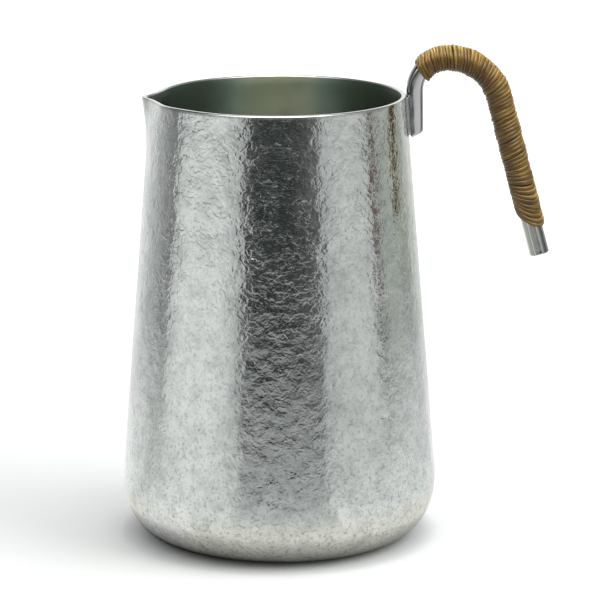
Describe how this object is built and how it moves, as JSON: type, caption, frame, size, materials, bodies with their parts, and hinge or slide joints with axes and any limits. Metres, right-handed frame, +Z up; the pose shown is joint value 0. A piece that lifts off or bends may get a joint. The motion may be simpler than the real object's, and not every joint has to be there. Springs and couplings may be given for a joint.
{
  "type": "sake warmer pitcher",
  "caption": "Tin sake warmer: tapered cup with a rounded heel, a pinched pouring lip and a soldered hook handle wound with split rattan.",
  "frame": {"origin": "centre of the base, on the axis of the cup, at the height of the surface that it stands on", "axes": "+Z up, +X towards the handle, -X towards the pouring lip, +Y away from the camera of the picture"},
  "size_m": [0.1087, 0.0802, 0.1262],
  "materials": {
    "chased_tin": "chased all over outside, satin inside, polished rim",
    "polished_bar": "drawn bar, polished",
    "solder": "bright solder, scraped smooth",
    "rattan": "split rattan, glossy skin side out"
  },
  "bodies": {
    "root": {"cup": "chased_tin", "handle_bar": "polished_bar", "solder_joint": "solder", "rattan_winding": "rattan"}
  },
  "joints": []
}
